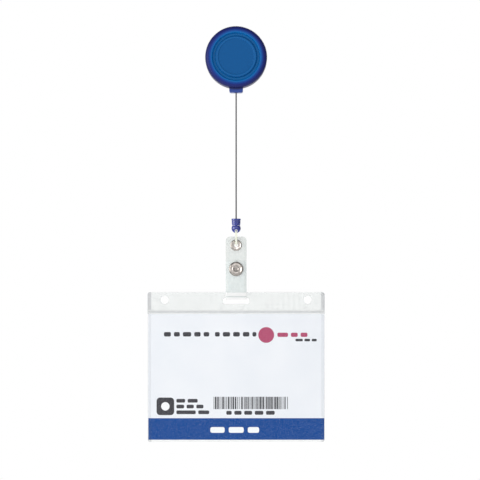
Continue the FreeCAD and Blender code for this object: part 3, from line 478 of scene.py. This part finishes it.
def wallet_look():
    """Clear soft vinyl: clearest over the card, milky over the flap, its welds and its side hems, and
    darkened with painted shade along the weld at the flap's foot.
    """
    look = Look("wallet_clear", srgb(230, 235, 234), 0.16)
    across, up = look.maths("ABSOLUTE", look.axis("X")), look.axis("Z")
    flap_low = CARD_HIGH.z + FLAP_FROM
    hem = look.share(across, SHEET_HIGH.x - HEM_FROM, SHEET_HIGH.x - HEM_FULL)
    flap = look.share(up, flap_low, CARD_HIGH.z + FLAP_FULL)
    weld_and_shade = look.ramp(look.share(up, flap_low, CARD_HIGH.z + WELD_END),
                     (0.02, 0.0), (0.1, 1.0), (0.8, 1.0), (0.95, 0.0))
    foot = look.share(up, SHEET_LOW.z + FOOT_FROM, SHEET_LOW.z + FOOT_FULL)
    cloud = look.speckle(per_metre=140)
    card_film, flap_film = (look.ramp(cloud, (0.3, thin), (0.7, thick))
                            for thin, thick in (OVER_CARD, OVER_FLAP))
    over_card = look.mixed(hem, card_film, AT_HEM)
    over_flap = look.mixed(weld_and_shade, flap_film, AT_WELD)
    look.see_through(look.mixed(foot, look.mixed(flap, over_card, over_flap), AT_FOOT))
    tint = look.ramp(cloud, (0.3, srgb(226, 232, 231)), (0.7, srgb(234, 238, 237)))
    hemmed = look.painted(hem, tint, srgb(120, 130, 138))
    # The weld band above the card is milky weld, darkened with painted shade.
    look.drive("Base Color", look.painted(weld_and_shade, hemmed, srgb(196, 201, 202)))
    look.vary("Roughness", look.speckle(per_metre=700), 0.12, 0.22)
    look.bump(look.speckle(per_metre=900, detail=2), deep=0.006 * MM, strength=0.3)
    return look.material


def card_look():
    look = Look("card_white", srgb(237, 241, 246), 0.5, Specular_IOR_Level=0.2)
    patch = look.speckle(per_metre=60, detail=4)
    look.vary("Base Color", patch, srgb(235, 239, 245), srgb(240, 243, 248))
    look.bump(look.speckle(per_metre=5200), deep=0.004 * MM, strength=0.3)
    return look.material


def ink_look(name, colour):
    """Print, paler in specks where the card's grain shows through."""
    look = Look(name, colour, 0.5, Specular_IOR_Level=0.1)
    pale = tuple(c + (1 - c) * 0.06 for c in colour)
    look.vary("Base Color", look.speckle(per_metre=1800, detail=4), colour, pale, 0.35, 0.75)
    look.vary("Roughness", look.speckle(per_metre=700), 0.36, 0.48)
    return look.material


FLOOR_HALF = 4.0  # half the floor's side
FLOOR_DROP = 0.83  # how far under the wallet it lies, for the cord at its longest


def floor_look():
    """Pale and plain, thinning out to nothing towards its edge."""
    look = Look("floor_pale", srgb(246, 246, 246), 0.7, Emission_Color=(1, 1, 1, 1),
                Emission_Strength=0.45)
    look.vary("Roughness", look.speckle(per_metre=30), 0.65, 0.75)
    out = look.node("VectorMath", operation="LENGTH")
    look.join(look.scaled(1, 1, 0), out.inputs[0])
    reach = look.share(out.outputs["Value"], 0, FLOOR_HALF)
    look.see_through(look.ramp(reach, (0.35, 1.0), (0.95, 0.0)))
    return look.material


# ---------------------------------------------------------------- making meshes


SAME_POINT = 1e-7
ON_THE_CUT = 1e-8
BEVEL_STEPS = 2


def mesh_object(name, points, faces, smooth=True):
    mesh = bpy.data.meshes.new(name)
    mesh.from_pydata(points, [], faces)
    mesh.update()
    mesh.polygons.foreach_set("use_smooth", [smooth] * len(mesh.polygons))
    return add_object(name, mesh)


def arc(centre, radius, first, last, count):
    """Points round a circle, from one angle to the other, in degrees."""
    turns = [math.radians(first + (last - first) * i / count) for i in range(count + 1)]
    return [(centre[0] + radius * math.cos(a), centre[1] + radius * math.sin(a)) for a in turns]


def rounded_rectangle(left, low, right, high, radius, count=6):
    corners = [(right - radius, high - radius, 0), (left + radius, high - radius, 90),
               (left + radius, low + radius, 180), (right - radius, low + radius, 270)]
    return [p for x, y, turn in corners for p in arc((x, y), radius, turn, turn + 90, count)]


def circle(x, y, radius, count=40):
    return arc((x, y), radius, 0, 360, count)[:-1]


def plate(name, thick, edge, outline, *holes):
    """A flat plate in its own XY plane, with holes. Its edges are rounded by edge, and the outlines
    are drawn that much inside the plate's own rim."""
    curve = bpy.data.curves.new(name, "CURVE")
    curve.dimensions, curve.fill_mode = "2D", "BOTH"
    curve.extrude, curve.bevel_depth, curve.bevel_resolution = thick / 2 - edge, edge, BEVEL_STEPS
    for points in (outline, *holes):
        spline = curve.splines.new("POLY")
        spline.points.add(len(points) - 1)
        for point, (x, y) in zip(spline.points, points):
            point.co = (x, y, 0, 1)
        spline.use_cyclic_u = True
    drawn = add_object(f"{name}_drawn", curve)
    bpy.context.view_layer.update()
    mesh = bpy.data.meshes.new_from_object(drawn.evaluated_get(bpy.context.evaluated_depsgraph_get()))
    bpy.data.objects.remove(drawn)
    mesh.name = name
    return add_object(name, mesh)


def sliced(piece, axis, places):
    """Cut a mesh across at each place along an axis, so that it can bend there."""
    work = bmesh.new()
    work.from_mesh(piece.data)
    bmesh.ops.remove_doubles(work, verts=work.verts, dist=SAME_POINT)
    normal = Vector([float(a == axis) for a in "xyz"])
    for place in places:
        parts = work.verts[:] + work.edges[:] + work.faces[:]
        bmesh.ops.bisect_plane(work, geom=parts, plane_co=normal * place, plane_no=normal,
                               dist=ON_THE_CUT)
    work.to_mesh(piece.data)
    work.free()
    return piece


def shaped(piece, to_place):
    """Move every point of a mesh where to_place sends it."""
    for point in piece.data.vertices:
        point.co = to_place(*point.co)
    work = bmesh.new()
    work.from_mesh(piece.data)
    bmesh.ops.recalc_face_normals(work, faces=work.faces)
    work.to_mesh(piece.data)
    work.free()
    return piece


def smoothed(piece, degrees=35):
    """Shade the mesh smooth, with creases where it turns by more than this."""
    mesh = piece.data
    mesh.polygons.foreach_set("use_smooth", [True] * len(mesh.polygons))
    mesh.set_sharp_from_angle(angle=math.radians(degrees))
    return piece


def along(path, s):
    """Where a path of ("line", start, end) and ("arc", centre, radius, from, to) runs reaches after
    the length s, and its left-hand normal, both in its own plane."""
    for kind, *run in path:
        if kind == "line":
            start, end = (Vector(p) for p in run)
            length = (end - start).length
            if s <= length or (kind, *run) == path[-1]:
                ahead = (end - start).normalized()
                return start + ahead * s, Vector((-ahead.y, ahead.x))
        else:
            centre, radius, first, last = run
            length = radius * abs(math.radians(last - first))
            if s <= length:
                angle = math.radians(first + (last - first) * s / length)
                out = Vector((math.cos(angle), math.sin(angle)))
                return Vector(centre) + out * radius, -out if last > first else out
        s -= length
    raise ValueError("past the end of the path")


def path_length(path):
    return sum(
        (Vector(run[1]) - Vector(run[0])).length if kind == "line"
        else run[1] * abs(math.radians(run[3] - run[2]))
        for kind, *run in path
    )


def finished(piece, look, body=None):
    piece.data.materials.clear()
    piece.data.materials.append(look)
    if body:
        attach(piece, body)
    return piece


# ---------------------------------------------------------------- cord


BRAID_STRANDS = 8
BRAID_PITCH = 2.4 * MM
BRAID_DEEP = 0.14  # how far the grooves go in, as a share of the radius
RING_STEP = 0.075 * MM
RING_POINTS = 24
ROUTE_RUNS = 3
KNOT_GAP = 0.03 * MM


def cord_route(exit_point, end_point):
    """The cord's smooth line, as a NURBS spline gives it."""
    curve = bpy.data.curves.new("cord_line", "CURVE")
    curve.dimensions = "3D"
    spline = curve.splines.new("NURBS")
    spline.points.add(ROUTE_RUNS)
    for i, point in enumerate(spline.points):
        point.co = (*Vector(exit_point).lerp(Vector(end_point), i / ROUTE_RUNS), 1)
    spline.order_u = 3
    spline.use_endpoint_u = True
    line = add_object("cord_line", curve)
    mesh = bpy.data.meshes.new_from_object(line)
    points = [v.co.copy() for v in mesh.vertices]
    bpy.data.objects.remove(line)
    return points


def braid_height(turn, z):
    """How far the braid stands out at this angle and height, from 0 to 1: strands that run both ways
    and pass over and under each other."""
    climb = 2 * math.pi * z / BRAID_PITCH
    half = BRAID_STRANDS / 2
    right, left = half * (turn - climb) / 2, half * (turn + climb) / 2
    over = 0.5 + 0.5 * math.sin(right * 2) * math.sin(left * 2)
    return max(abs(math.cos(right)) * over, abs(math.cos(left)) * (1 - over))


def make_cord():
    """The free cord: a braided tube that stays straight, because the spring pulls it."""
    exit_point = (0, CORD_Y, CORD_HIGH.z)
    knot_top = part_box("cord_end_knot")[1].z
    end_point = (0, CORD_Y, knot_top + KNOT_GAP)
    route = cord_route(exit_point, end_point)
    length = CORD_HIGH.z - end_point[2]
    count = round(length / RING_STEP)
    points, faces = [], []
    for i in range(count + 1):
        drop = length * i / count
        for k in range(RING_POINTS):
            turn = 2 * math.pi * k / RING_POINTS
            radius = CORD_RADIUS * (1 - BRAID_DEEP + BRAID_DEEP * braid_height(turn, drop))
            points.append((radius * math.cos(turn), CORD_Y + radius * math.sin(turn),
                           CORD_HIGH.z - drop))
    for i in range(count):
        for k in range(RING_POINTS):
            a, b = i * RING_POINTS + k, i * RING_POINTS + (k + 1) % RING_POINTS
            faces.append((a, b, b + RING_POINTS, a + RING_POINTS))
    faces.append(tuple(range(RING_POINTS)))
    faces.append(tuple(reversed(range(count * RING_POINTS, (count + 1) * RING_POINTS))))
    cord = finished(mesh_object("cord", points, faces), LOOKS["cord"])
    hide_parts("cord_free")
    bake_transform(cord)


# ---------------------------------------------------------------- strap


STRAP_THICK = 0.6 * MM
STRAP_EDGE = 0.12 * MM  # round of its cut edges
STRAP_CORNER = 2.2 * MM
STRAP_BEND = 1.0 * MM  # its middle line's two bends at the fold
EYELET_HOLE = 1.5 * MM
SNAP_HOLE = 0.85 * MM
FOLD_CUTS, LENGTH_CUTS, HALF_WIDTH_CUTS = 20, 30, 4


def make_strap():
    """One vinyl strip: down the front, through the wallet's slot and up behind."""
    half = FRONT_HIGH.x
    front, rear = FRONT_LOW.y + STRAP_THICK / 2, REAR_HIGH.y - STRAP_THICK / 2
    low = FRONT_LOW.z + STRAP_THICK / 2
    path = [
        ("line", (front, FRONT_HIGH.z), (front, low + STRAP_BEND)),
        ("arc", (front + STRAP_BEND, low + STRAP_BEND), STRAP_BEND, 180, 270),
        ("line", (front + STRAP_BEND, low), (rear - STRAP_BEND, low)),
        ("arc", (rear - STRAP_BEND, low + STRAP_BEND), STRAP_BEND, 270, 360),
        ("line", (rear, low + STRAP_BEND), (rear, REAR_HIGH.z)),
    ]
    length = path_length(path)
    eyelet = FRONT_HIGH.z - EYELET_Z
    snap = FRONT_HIGH.z - SNAP_Z
    rear_snap = length - (REAR_HIGH.z - SNAP_Z)
    strip = plate(
        "strap_strip", STRAP_THICK, STRAP_EDGE,
        rounded_rectangle(-half + STRAP_EDGE, STRAP_EDGE, half - STRAP_EDGE, length - STRAP_EDGE,
                          STRAP_CORNER - STRAP_EDGE),
        circle(0, eyelet, EYELET_HOLE + STRAP_EDGE),
        circle(0, snap, SNAP_HOLE + STRAP_EDGE),
        circle(0, rear_snap, SNAP_HOLE + STRAP_EDGE),
    )
    fold = FRONT_HIGH.z - low - STRAP_BEND
    round_length = path_length(path[1:4])
    cuts = [fold + round_length * i / FOLD_CUTS for i in range(FOLD_CUTS + 1)]
    cuts += [length * i / LENGTH_CUTS for i in range(1, LENGTH_CUTS)]
    sliced(strip, "y", sorted(cuts))
    sides = range(1 - HALF_WIDTH_CUTS, HALF_WIDTH_CUTS)
    sliced(strip, "x", [half * k / HALF_WIDTH_CUTS for k in sides])

    def fold_up(x, s, n):
        spot, normal = along(path, s)
        return x, spot.x + normal.x * n, spot.y + normal.y * n

    smoothed(shaped(strip, fold_up))
    finished(strip, LOOKS["strap"])
    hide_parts("strap_front_leg", "strap_back_leg")
    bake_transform(strip)


# ---------------------------------------------------------------- wallet


SHEET_THICK = 0.4 * MM
SHEET_EDGE = 0.08 * MM  # round of its cut edges
SHEET_CORNER = 1.2 * MM
SLOT_WIDTH, SLOT_HEIGHT, SLOT_CORNER = 13.6 * MM, 3.0 * MM, 1.0 * MM
SLOT_RISE = 0.7 * MM  # the slot's upper edge above the strap's lower end
FLAP_RISE = 1.4 * MM  # the flap's weld above the card
FOOT_WELD = 0.5 * MM
SHEET_STEP = 0.5 * MM  # height over which the front sheet steps out, beside each weld
HALF_SHEET_CUTS, UPRIGHT_CUTS = 16, 26
FLAP_CUT, FLAP_CUTS = 0.12 * MM, 8  # close cuts, so many on each side of the flap's lower edge
FOOT_CUT, FOOT_CUTS = 0.1 * MM, 8  # close cuts beside the foot's weld


def sheet_outline():
    return rounded_rectangle(SHEET_LOW.x + SHEET_EDGE, SHEET_LOW.z + SHEET_EDGE,
                             SHEET_HIGH.x - SHEET_EDGE, SHEET_HIGH.z - SHEET_EDGE, SHEET_CORNER)


def sheet_openings():
    top = FRONT_LOW.z + SLOT_RISE
    slot = rounded_rectangle(-SLOT_WIDTH / 2 - SHEET_EDGE, top - SLOT_HEIGHT - SHEET_EDGE,
                             SLOT_WIDTH / 2 + SHEET_EDGE, top + SHEET_EDGE,
                             SLOT_CORNER + SHEET_EDGE)
    record = {m["name"]: m for m in frame["record"]["mounts"]}
    holes = []
    for name in ("left_hole", "right_hole"):
        x, _, z = record[name]["pos_m"]
        holes.append(circle(x, z, record[name]["dims"]["r_mm"] * MM + SHEET_EDGE))
    return slot, *holes


def rise(value, low, high):
    """0 below low, 1 above high, and a smooth rise between them."""
    share = min(1.0, max(0.0, (value - low) / (high - low)))
    return share * share * (3 - 2 * share)


def make_wallet():
    """Two sheets, welded along the flap and the bottom. The front one steps out over the card."""
    foot, flap_low = SHEET_LOW.z, CARD_HIGH.z + FLAP_RISE
    height = SHEET_HIGH.z - foot
    sides = range(1 - HALF_SHEET_CUTS, HALF_SHEET_CUTS)
    cuts_x = [SHEET_HIGH.x * k / HALF_SHEET_CUTS for k in sides]
    cuts_z = [foot + height * k / UPRIGHT_CUTS for k in range(1, UPRIGHT_CUTS)]
    cuts_z += [flap_low + k * FLAP_CUT for k in range(-FLAP_CUTS, FLAP_CUTS + 1)]
    cuts_z += [foot + FOOT_WELD + k * FOOT_CUT for k in range(-1, FOOT_CUTS - 1)]
    room = POCKET_HIGH.y - POCKET_LOW.y - SHEET_THICK
    back_y, front_y = SHEET_HIGH.y - SHEET_THICK / 2, SHEET_LOW.y - SHEET_THICK / 2

    def lie_flat(x, z, n):
        return x, back_y - n, z

    def stand_out(x, z, n):
        out = room * rise(z, foot + FOOT_WELD, foot + FOOT_WELD + SHEET_STEP)
        out *= 1 - rise(z, flap_low - SHEET_STEP, flap_low)
        return x, front_y - out - n, z

    for name, node, to_place in (("wallet_back", "wallet_back_sheet", lie_flat),
                                 ("wallet_front", "wallet_front_sheet", stand_out)):
        sheet = plate(name, SHEET_THICK, SHEET_EDGE, sheet_outline(), *sheet_openings())
        sliced(sliced(sheet, "x", cuts_x), "y", sorted(cuts_z))
        shaped(sheet, to_place)
        finished(smoothed(sheet), LOOKS["wallet"], "wallet")
        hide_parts(node)


# ---------------------------------------------------------------- card


CARD_EDGE = 0.05 * MM
CARD_CORNER = 0.4 * MM
INK_LIFT = 0.03 * MM
PRINT_SEED = 4
BAND_HIGH = 11.2 * MM
BAR_SHORT, BAR_LONG = 0.6, 1.6  # lengths of the bars in a row, against each other
BAR_GAP, BAR_CORNER = 0.7, 0.3  # shares of a bar's height
BAR_ARC = 3  # points round each corner
STRIPE_WIDTHS = (0.22, 0.22, 0.45, 0.68)  # millimetres
STRIPE_GAPS = (0.22, 0.22, 0.4, 0.62)
LAST_STRIPE = 0.3 * MM

# The card's print. Everything is in millimetres, from x = 0 and from the card's foot. The rows of bars
# stand in for words: left edge, top edge, width, height of a bar, and how many bars.
DARK_ROWS = (
    (-37.5, 55.9, 23.5, 2.3, 5), (-11.0, 55.9, 21.5, 2.3, 5),  # title
    (30.8, 52.4, 11.0, 1.3, 3),  # small print under it
    (-31.0, 21.2, 11.0, 1.9, 2), (-31.0, 18.2, 14.0, 1.9, 3), (-31.0, 15.2, 17.0, 1.9, 2),  # beside the seal
    (-5.1, 15.0, 25.1, 2.0, 5),  # under the stripes
)
RED_ROW = (21.4, 55.6, 15.6, 2.2, 3)
WHITE_ROW = (-13.4, 6.6, 25.3, 3.0, 3)
STRIPES = (-11.7, 22.3, 38.5, 6.4)  # left edge, top edge, width and height
SEAL = (-41.3, 12.8, -32.2, 21.9, 1.8)  # left, low, right and high edges, and corners
SEAL_DOT = (-36.75, 17.35, 2.2)  # middle and radius
RED_DISC = (15.6, 54.4, 4.1)


def bars(left, top, wide, high, count, rng):
    """A row of plain rounded bars of uneven lengths."""
    x, z, wide, high = left * MM, CARD_LOW.z + top * MM, wide * MM, high * MM
    lengths = [rng.uniform(BAR_SHORT, BAR_LONG) for _ in range(count)]
    gap = BAR_GAP * high
    unit = (wide - gap * (count - 1)) / sum(lengths)
    shapes = []
    for length in lengths:
        shapes.append(rounded_rectangle(x, z - high, x + length * unit, z, high * BAR_CORNER, BAR_ARC))
        x += length * unit + gap
    return shapes


def stripes(left, top, wide, high, rng):
    """Upright stripes of made-up widths."""
    x, z, wide, high = left * MM, CARD_LOW.z + top * MM, wide * MM, high * MM
    shapes, end = [], x + wide

    def stripe(start, stop):
        shapes.append([(start, z - high), (stop, z - high), (stop, z), (start, z)])

    while x < end - 3 * LAST_STRIPE:
        width = rng.choice(STRIPE_WIDTHS) * MM
        stripe(x, x + width)
        x += width + rng.choice(STRIPE_GAPS) * MM
    stripe(end - LAST_STRIPE, end)
    return shapes


def disc(x, up, radius):
    return circle(x * MM, CARD_LOW.z + up * MM, radius * MM)


def printed(name, look, shapes, lift=INK_LIFT):
    """Ink on the card's front: each shape is one flat face."""
    y = CARD_LOW.y - lift
    points, faces = [], []
    for shape in shapes:
        faces.append(tuple(range(len(points), len(points) + len(shape))))
        points += [(px, y, pz) for px, pz in shape]
    finished(mesh_object(name, points, faces, smooth=False), look, "card")


def make_card():
    """The insert: a coated card with a blue band, and plain marks where a real one has its print."""
    card = plate(
        "card", CARD_HIGH.y - CARD_LOW.y, CARD_EDGE,
        rounded_rectangle(CARD_LOW.x + CARD_EDGE, CARD_LOW.z + CARD_EDGE, CARD_HIGH.x - CARD_EDGE,
                          CARD_HIGH.z - CARD_EDGE, CARD_CORNER),
    )
    middle = (CARD_LOW.y + CARD_HIGH.y) / 2
    shaped(card, lambda x, z, n: (x, middle - n, z))
    finished(smoothed(card), LOOKS["card"], "card")
    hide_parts("insert_card")

    low, band_top = CARD_LOW.z, CARD_LOW.z + BAND_HIGH
    band = [(CARD_LOW.x, low), (CARD_HIGH.x, low), (CARD_HIGH.x, band_top), (CARD_LOW.x, band_top)]
    printed("card_band", LOOKS["blue_ink"], [band], INK_LIFT / 2)
    rng = random.Random(PRINT_SEED)
    dark = [bar for row in DARK_ROWS for bar in bars(*row, rng)]
    printed("card_print_dark", LOOKS["dark_ink"], dark + stripes(*STRIPES, rng))
    left, foot, right, head, corner = (size * MM for size in SEAL)
    seal = rounded_rectangle(left, low + foot, right, low + head, corner)
    printed("card_seal", LOOKS["dark_ink"], [seal])
    printed("card_print_red", LOOKS["red_ink"], [disc(*RED_DISC)] + bars(*RED_ROW, rng))
    printed("card_print_white", LOOKS["white_ink"], bars(*WHITE_ROW, rng) + [disc(*SEAL_DOT)],
            INK_LIFT * 1.5)


# ---------------------------------------------------------------- floor


def make_floor():
    """A plain floor, far enough down for the cord at its longest."""
    size, low = FLOOR_HALF, cad_low.z - FLOOR_DROP
    corners = [(-size, -size, low), (size, -size, low), (size, size, low), (-size, size, low)]
    floor = mesh_object("floor", corners, [(0, 1, 2, 3)])
    floor.data.materials.append(floor_look())


# ---------------------------------------------------------------- the whole


LOOKS = {
    "case": case_look(),
    "spool": spool_look(),
    "spring": steel_look("spring_strip", srgb(176, 178, 182), 0.25, "y"),
    "clip": steel_look("clip_plate", srgb(206, 208, 212), 0.2, "z"),
    "cord": cord_look(),
    "fitting": fitting_look(),
    "link": link_look(),
    "nickel": nickel_look("nickel_plate"),
    "eyelet": nickel_look("nickel_eyelet", EYELET_Z, EYELET_RINGS),
    "snap": nickel_look("nickel_snap", SNAP_Z, SNAP_RINGS),
    "strap": strap_look(),
    "wallet": wallet_look(),
    "card": card_look(),
    "blue_ink": ink_look("ink_blue", srgb(0, 70, 146)),
    "dark_ink": ink_look("ink_dark", srgb(62, 62, 68)),
    "red_ink": ink_look("ink_red", srgb(178, 78, 112)),
    "white_ink": ink_look("ink_white", srgb(245, 248, 250)),
}

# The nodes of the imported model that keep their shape, by look.
KEPT = {
    "case": ("front_cover", "rear_cover"),
    "spool": ("spool",),
    "spring": ("power_spring", "snap_spring_ring"),
    "clip": ("belt_clip_base", "belt_clip_tongue", "clip_rivet"),
    "cord": ("cord_winding", "cord_lead_in", "cord_anchor_knot", "cord_end_knot"),
    "fitting": ("cord_end_cap", "swivel_eye"),
    "link": ("link_loop",),
    "nickel": ("eyelet_washer", "snap_socket", "snap_stud", "snap_post"),
    "eyelet": ("eyelet_barrel",),
    "snap": ("snap_cap",),
}

add_camera()
add_lamps()
add_room()
bpy.context.scene.view_settings.view_transform = "Standard"
bpy.context.scene.cycles.transparent_max_bounces = CLEAR_LAYERS
for look, names in KEPT.items():
    for node in names:
        for place in NODES[node].material_slots:
            place.material = LOOKS[look]
make_cord()
make_strap()
make_wallet()
make_card()
make_floor()
